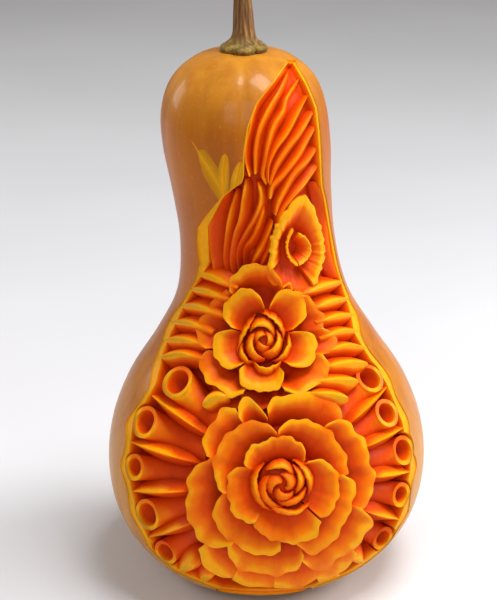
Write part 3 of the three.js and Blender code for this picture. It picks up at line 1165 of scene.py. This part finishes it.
@dataclass(frozen=True)
class Roll:
    """A petal rolled into a horn that opens at the skin and runs in under the large rose.

    Attributes:
        across: Where its mouth is in the layout, sideways.
        up: Where its mouth is, up the slope.
        mouth: The mouth's outer radius.
        wall: How thick it is at the mouth.
        lean: How far its axis leans away from the rose, from the layout's outward direction.
        drop: How far down it goes before it bends towards the rose.
        root_from_rose: How far from the rose's centre its narrow end is.
        root_depth: How deep its narrow end is.
        root_share: The narrow end's radius as a share of the mouth's.
        sunk: How far the mouth's middle is sunk, as a share of what brings its outer rim to the skin.
    """

    across: float
    up: float
    mouth: float
    wall: float = 2.1
    lean: float = 42
    drop: float = 12
    root_from_rose: float = 44
    root_depth: float = 13.5
    root_share: float = 0.85
    sunk: float = 0.8

    def path(self) -> tuple[np.ndarray, np.ndarray, np.ndarray]:
        """Return the points that bend the roll: its mouth, a point under it, and its narrow end."""
        slope_up, slope_out = FRUIT.plane()
        away = np.array([self.across, self.up]) - LARGE_ROSE.centre
        away /= np.linalg.norm(away)
        lean = math.radians(self.lean)
        axis = math.sin(lean) * (
            away[0] * np.array([1, 0, 0]) + away[1] * slope_up
        ) + math.cos(lean) * slope_out
        skin = FRUIT.under(np.array([self.across]), np.array([self.up]), 0.0)
        tilt = np.linalg.norm(np.cross(axis, FRUIT.normal(skin)[0]))
        mouth = skin[0] - FRUIT.normal(skin)[0] * (self.mouth * tilt * self.sunk + 0.4)
        root = LARGE_ROSE.centre + away * self.root_from_rose
        narrow = FRUIT.under(root[:1], root[1:], self.root_depth)[0]
        return mouth, mouth - axis * self.drop, narrow

    def horn(self, name: str, mouth: float, root: float, start: float, stop: float) -> bpy.types.Object:
        """Make a solid horn along the roll's bent axis.

        Args:
            name: The object's name.
            mouth: Its radius at the mouth.
            root: Its radius at the narrow end.
            start: Where it begins, as a share of the way from the mouth to the narrow end.
            stop: Where it ends.

        Returns:
            The horn.
        """
        first, bend, last = self.path()

        def place(around: np.ndarray, along: np.ndarray, down: np.ndarray) -> np.ndarray:
            """Round the block into a horn that flares towards its mouth."""
            share = (start + (stop - start) * along)[:, None]
            on_way = np.clip(share, 0, 1)
            middle = first * (1 - on_way) ** 2 + bend * 2 * on_way * (1 - on_way) + last * on_way**2
            middle = middle + (bend - first) * 2 * np.minimum(share, 0)
            forward = (bend - first) * (1 - on_way) + (last - bend) * on_way
            forward /= np.linalg.norm(forward, axis=1, keepdims=True)
            side = np.cross(forward, np.cross(bend - first, last - bend))
            side /= np.linalg.norm(side, axis=1, keepdims=True)
            rise = np.cross(side, forward)
            round_x, round_y = disc(around, down)
            radius = root + (mouth - root) * (1 - on_way[:, 0]) ** 1.4
            return middle + side * (radius * round_x)[:, None] + rise * (radius * round_y)[:, None]

        return bent_block(name, 8, 20, place, 8)

    def body(self) -> bpy.types.Object:
        """Carve the outside of the roll."""
        return self.horn("roll", self.mouth, self.mouth * self.root_share, 0, 1)

    def bore(self) -> bpy.types.Object:
        """Make the cutter for the inside of the roll."""
        inside = self.mouth - self.wall
        return self.horn("bore", inside, inside * 0.2, -0.6, 0.5)

    def moat(self) -> bpy.types.Object:
        """Make the cutter that frees the roll's mouth from the flesh around it."""
        return self.horn("moat", self.mouth + 1.4, self.mouth * 0.8, -0.6, 0.25)


ROLLS = (
    Roll(-48, 105, 9.2), Roll(-66, 83, 8.8), Roll(-72, 58, 7.2), Roll(-65, 32, 8.6), Roll(-56, 9, 7.2),
    Roll(57, 107, 8.4), Roll(66, 88, 7.8), Roll(76, 67, 8), Roll(75, 42, 6.8), Roll(66, 16, 6.8),
)


def flute(here: Roll, there: Roll) -> Blade:
    """Carve the sharp ridge that runs between two rolls towards the large rose.

    Args:
        here: One roll.
        there: The next one.

    Returns:
        The ridge.
    """
    middle = np.array([here.across + there.across, here.up + there.up]) / 2
    away = middle - LARGE_ROSE.centre
    away /= np.linalg.norm(away)
    tip = middle + away * 7
    root = LARGE_ROSE.centre + away * 46
    halfway = (tip + root) / 2
    return Blade((tuple(tip), tuple(halfway), tuple(root)), 7, 7, 0.8, 11, 0.4, 6)


FLUTES = Foliage("flutes", tuple(
    flute(here, there) for side in (ROLLS[:5], ROLLS[5:]) for here, there in zip(side, side[1:])
))


# ---- The carved fruit ----


@dataclass(frozen=True)
class CarvedSquash:
    """The whole fruit with all of its carving.

    Attributes:
        deepest: The depth at which the flesh has its deepest and darkest colour, the darkness being partly
            painted shade.
        relief_shade_and_light: How much darker the colour gets for each millimetre below the carving around it,
            as painted shade in recesses, and how much lighter it gets above it, as painted light on raised lips.
        crease: The angle above which an edge stays sharp.
    """

    deepest: float = 14
    relief_shade_and_light: float = 0.044
    crease: float = 38

    def build(self) -> bpy.types.Object:
        """Carve the fruit."""
        fruit = FRUIT.build()
        combine(fruit, [*Hollow().build(), *(roll.moat() for roll in ROLLS)], Cut.REMOVE)
        combine(fruit, [tool for leaf in PEELED_LEAVES for tool in leaf.build()], Cut.REMOVE)
        rolls, *others = (roll.body() for roll in ROLLS)
        ornament = combine(rolls, others, Cut.JOIN)
        groups = (LARGE_ROSE, SMALL_ROSE, BIG_LEAF, SMALL_LEAF, BUD, BUD_LEAF, FRONDS, FLUTES)
        combine(ornament, [FRUIT.build()], Cut.KEEP_INSIDE)
        combine(ornament, [roll.bore() for roll in ROLLS], Cut.REMOVE)
        combine(fruit, [roll.bore() for roll in ROLLS], Cut.REMOVE)
        combine(fruit, [ornament, *(group.build() for group in groups)], Cut.JOIN)
        self.finish(fruit)
        return fruit

    def finish(self, fruit: bpy.types.Object) -> None:
        """Clean the mesh, record its depth with painted shade in its recesses and painted light on its raised
        lips, and shade it smooth between its creases.

        Args:
            fruit: The carved fruit.
        """
        shell = bmesh.new()
        shell.from_mesh(fruit.data)
        bmesh.ops.dissolve_degenerate(shell, dist=1e-6, edges=shell.edges)
        keep_largest_shell(shell)
        shell.to_mesh(fruit.data)
        shell.free()
        points = points_of(fruit) / MM
        level = FRUIT.level_depth(points)
        steep = np.linalg.norm(FRUIT.normal(points)[:, :2], axis=1)
        depth = level * np.maximum(steep, 0.3)
        plain = depth / self.deepest
        # Painted shade and light: a point sunk below the carving around it is coloured darker, and one raised
        # above it is coloured lighter.
        share = 0.75 * plain + self.relief_shade_and_light * below_surroundings(points, depth) + np.clip(plain, 0, 0.15)
        share = np.clip(np.maximum(share, np.minimum(plain, 0.1)), 0, 1)
        record = fruit.data.attributes.new(DEPTH_AND_SHADE_NAME, "FLOAT", "POINT")
        record.data.foreach_set("value", share)
        pick(fruit)
        bpy.ops.object.shade_smooth_by_angle(angle=math.radians(self.crease))
        LOG.info(
            "carved_squash: %d vertices, %d faces", len(fruit.data.vertices), len(fruit.data.polygons)
        )


def below_surroundings(points: np.ndarray, depth: np.ndarray, reach: int = 5) -> np.ndarray:
    """Compare each point's depth with the carving around it, seen from the front.

    Args:
        points: The points in millimetres, one row each.
        depth: Their depths.
        reach: How far around each point to look.

    Returns:
        How much deeper each point is than its surroundings, and 0 on the back.
    """
    front = points[:, 1] < 0
    map_shape, map_middle = np.array([200, 360]), [100, 10]
    cells = np.clip(points[:, [0, 2]] + map_middle, 0, map_shape - 1).astype(int)
    at = tuple(cells[front].T)
    total, count = np.zeros(map_shape), np.full(map_shape, 1e-6)
    np.add.at(total, at, depth[front])
    np.add.at(count, at, 1)
    window = np.hanning(2 * reach + 3)
    for axis in (0, 1):
        total, count = (
            np.apply_along_axis(np.convolve, axis, grid, window, "same") for grid in (total, count)
        )
    around = (total / count)[tuple(cells.T)]
    return np.where(front, depth - around, 0)


def keep_largest_shell(shell: bmesh.types.BMesh) -> None:
    """Delete every loose part of a mesh except the one with the most vertices."""
    unseen = set(shell.verts)
    parts: list[set] = []
    while unseen:
        front = [unseen.pop()]
        part = set(front)
        while front:
            near = {edge.other_vert(vert) for vert in front for edge in vert.link_edges} & unseen
            unseen -= near
            part |= near
            front = list(near)
        parts.append(part)
    parts.sort(key=len)
    loose = [vert for part in parts[:-1] for vert in part]
    bmesh.ops.delete(shell, geom=loose, context="VERTS")


# ---- The stem ----


@dataclass(frozen=True)
class Stem:
    """The dry stalk with its five-lobed collar, cut off square.

    Attributes:
        outline: Radius and height above the crown, from the collar's edge to the top.
        lobes: How many lobes the collar has, and ridges the stalk.
        lobe_depth: How deep the collar's lobes are, as a share of its radius.
        ridge_depth: The same for the stalk's ridges.
        lean: How far the stalk leans sideways for each millimetre of height.
        gap: The gap between the collar and the crown.
    """

    outline: Pairs = (
        (11.9, 0.3), (12.7, 1.4), (12, 2.9), (9.6, 4.2), (7.1, 6.4), (5.9, 10), (5.3, 17), (4.8, 26),
        (4.5, 36),
        (4.9, 43), (5.1, 45.2),
    )
    lobes: int = 5
    lobe_depth: float = 0.2
    ridge_depth: float = 0.13
    lean: float = -0.04
    gap: float = 0.3

    def build(self) -> bpy.types.Object:
        """Make the stem, standing on the crown."""
        crown = FRUIT.profile[len(FRUIT.side) - 1:][::-1]
        reach = np.array([0, 4, 8, 12])
        seat = np.interp(reach, crown[:, 0], crown[:, 1]) - FRUIT.top
        side = smooth_curve(self.outline, 90)
        cap = np.array([[4.6, 45.6], [3, 45.3], [1.5, 44.8], [0, 44.7]])
        profile = np.vstack([np.column_stack([reach, seat]), side, cap])
        stem = turned("ridged_stem", profile + [0, FRUIT.top + self.gap], 120)
        points = points_of(stem) / MM
        height = points[:, 2] - FRUIT.top
        angle = np.arctan2(points[:, 1], points[:, 0]) + 0.012 * height + 0.3
        collar = np.clip(1.3 - height / 7.5, 0, 1)
        fold = 1 - np.abs(np.cos(self.lobes / 2 * angle)) ** 0.7
        deep = self.lobe_depth * collar + self.ridge_depth * (1 - collar) * np.clip(height / 4, 0, 1)
        small = 0.025 * np.sin(13 * angle + 0.2 * height) * np.clip(height / 6, 0, 1)
        swing = np.clip(height, 0, None)
        points[:, :2] *= (1 - deep * fold + small)[:, None]
        points[:, 0] += self.lean * swing + FRUIT.shift(FRUIT.top) + 0.5 * np.sin(swing / 14)
        set_points(stem, points * MM)
        self.finish(stem, collar)
        return stem

    def finish(self, stem: bpy.types.Object, collar: np.ndarray) -> None:
        """Dress the stem and shade it smooth.

        Args:
            stem: The stem.
            collar: How much of the collar's colour each vertex has.
        """
        record = stem.data.attributes.new(COLLAR_NAME, "FLOAT", "POINT")
        record.data.foreach_set("value", collar)
        stem.data.materials.append(STALK.material())
        pick(stem)
        bpy.ops.object.shade_smooth_by_angle(angle=math.radians(50))
        LOG.info("ridged_stem: %d faces", len(stem.data.polygons))


# ---- The studio ----


@dataclass(frozen=True)
class AreaLight:
    """A square soft light, aimed at the fruit's middle.

    Attributes:
        name: The light's name.
        place: Where it is, in metres.
        size: Its side, in metres.
        watts: Its power.
        colour: Its colour.
    """

    name: str
    place: tuple[float, float, float]
    size: float
    watts: float
    colour: tuple[float, float, float] = (1, 1, 1)

    def build(self) -> None:
        """Hang the light."""
        bpy.ops.object.light_add(type="AREA", location=self.place)
        light = bpy.context.active_object
        light.name = self.name
        light.data.size = self.size
        light.data.energy = self.watts
        light.data.color = self.colour
        aim(light, (0, 0, 150 * MM))


@dataclass(frozen=True)
class Studio:
    """The floor, the soft lights and the camera.

    Attributes:
        target: What the camera looks at, in millimetres.
        distance: How far away it is.
        pitch: How far it looks down.
        lens: Its focal length in millimetres.
        floor_side: The floor's side in metres.
        air: How bright the surroundings are.
    """

    target: tuple[float, float, float] = (-9.3, 0, 158)
    distance: float = 978.3
    pitch: float = 21
    lens: float = 108
    floor_side: float = 9
    air: float = 0.26
    lights: tuple[AreaLight, ...] = (
        AreaLight("overhead", (0.35, -0.2, 1.5), 0.6, 18),
        AreaLight("window_right", (1.2, 0.15, 0.7), 0.7, 13),
        AreaLight("window_left", (-1.2, 0.6, 0.6), 0.6, 5),
        AreaLight("front_fill", (-0.3, -1.6, 1.0), 0.9, 7),
    )

    def build(self) -> None:
        """Set up the floor, the lights, the surroundings and the camera."""
        self.lay_floor()
        for light in self.lights:
            light.build()
        world = bpy.data.worlds.new("studio_air")
        bpy.context.scene.world = world
        world.use_nodes = True
        background = world.node_tree.nodes["Background"]
        background.inputs["Color"].default_value = linear(243, 238, 229)
        background.inputs["Strength"].default_value = self.air
        bpy.context.scene.view_settings.view_transform = "Standard"
        self.place_camera()

    def lay_floor(self) -> None:
        """Lay the floor that the squash stands on."""
        deselect_all()
        bpy.ops.mesh.primitive_plane_add(size=self.floor_side, location=(0, 0, 0))
        floor = bpy.context.active_object
        floor.name = "floor"
        floor.data.materials.append(FLOOR.material())

    def place_camera(self) -> None:
        """Set up the camera in front of the carving, a little above it."""
        down = math.radians(self.pitch)
        back = self.distance * MM
        middle = [part * MM for part in self.target]
        place = (middle[0], middle[1] - back * math.cos(down), middle[2] + back * math.sin(down))
        bpy.ops.object.camera_add(location=place)
        camera = bpy.context.active_object
        camera.data.lens = self.lens
        camera.data.sensor_width = 36
        aim(camera, middle)
        bpy.context.scene.camera = camera


def aim(thing: bpy.types.Object, target: Sequence[float]) -> None:
    """Turn a light or camera, which looks along its own -Z, towards a point."""
    thing.rotation_euler = (Vector(target) - thing.location).to_track_quat("-Z", "Y").to_euler()


def main() -> None:
    """Build the squash, its stem and the studio."""
    logging.basicConfig(level=logging.INFO, format="%(name)s: %(message)s")
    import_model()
    squash = CarvedSquash().build()
    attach(squash, "root")
    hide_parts("squash_body")
    stem = Stem().build()
    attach(stem, "root")
    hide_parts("stem")
    Studio().build()


if __name__ == "__main__":
    main()
